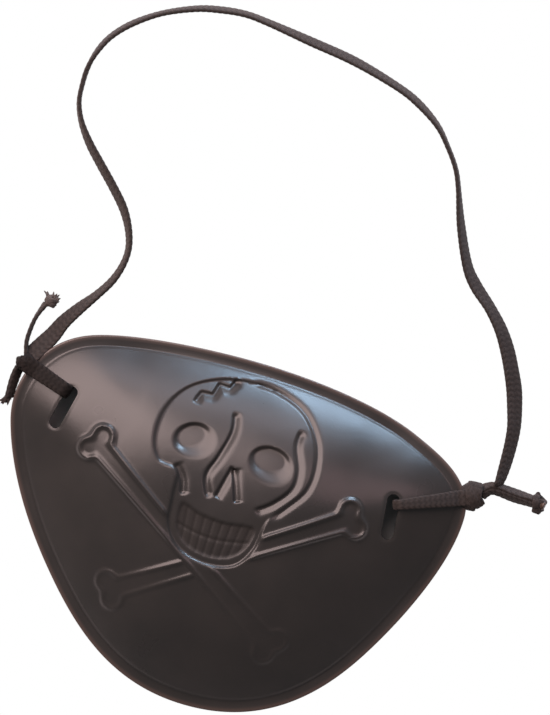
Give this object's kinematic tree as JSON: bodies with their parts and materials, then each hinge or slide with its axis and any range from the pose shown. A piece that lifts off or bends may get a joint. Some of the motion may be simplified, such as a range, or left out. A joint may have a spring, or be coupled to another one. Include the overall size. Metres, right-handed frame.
{
  "type": "eye patch",
  "caption": "Domed moulded plastic eye patch with a flat flange and corner slots, worn on a loop of flat braided elastic knotted at each corner.",
  "frame": {"origin": "middle of the box of the moulded face, on the surface that its flange lies on", "axes": "+X from the left corner to the right corner, +Y towards the brow and the strap, +Z out of the face's front"},
  "size_m": [0.0931, 0.1143, 0.0113],
  "materials": {
    "moulding": "glossy charcoal moulded vinyl with a faint grain",
    "elastic": "matt dark brown-black flat braided elastic"
  },
  "bodies": {
    "patch": {"moulded_face": "moulding", "left_anchor_loop": "elastic", "right_anchor_loop": "elastic", "left_knot": "elastic", "right_knot": "elastic", "left_long_tail": "elastic", "left_long_tail_knot": "elastic", "left_short_tail": "elastic", "right_tail": "elastic", "right_tail_knot": "elastic"},
    "strap": {"elastic_strap": "elastic"}
  },
  "joints": [
    {"name": "strap_swing", "type": "hinge", "parent": "patch", "child": "strap", "pos_m": [0, 0.01915, 0.0019], "axis": [1, 0, 0], "range_deg": [-95, 95]}
  ]
}
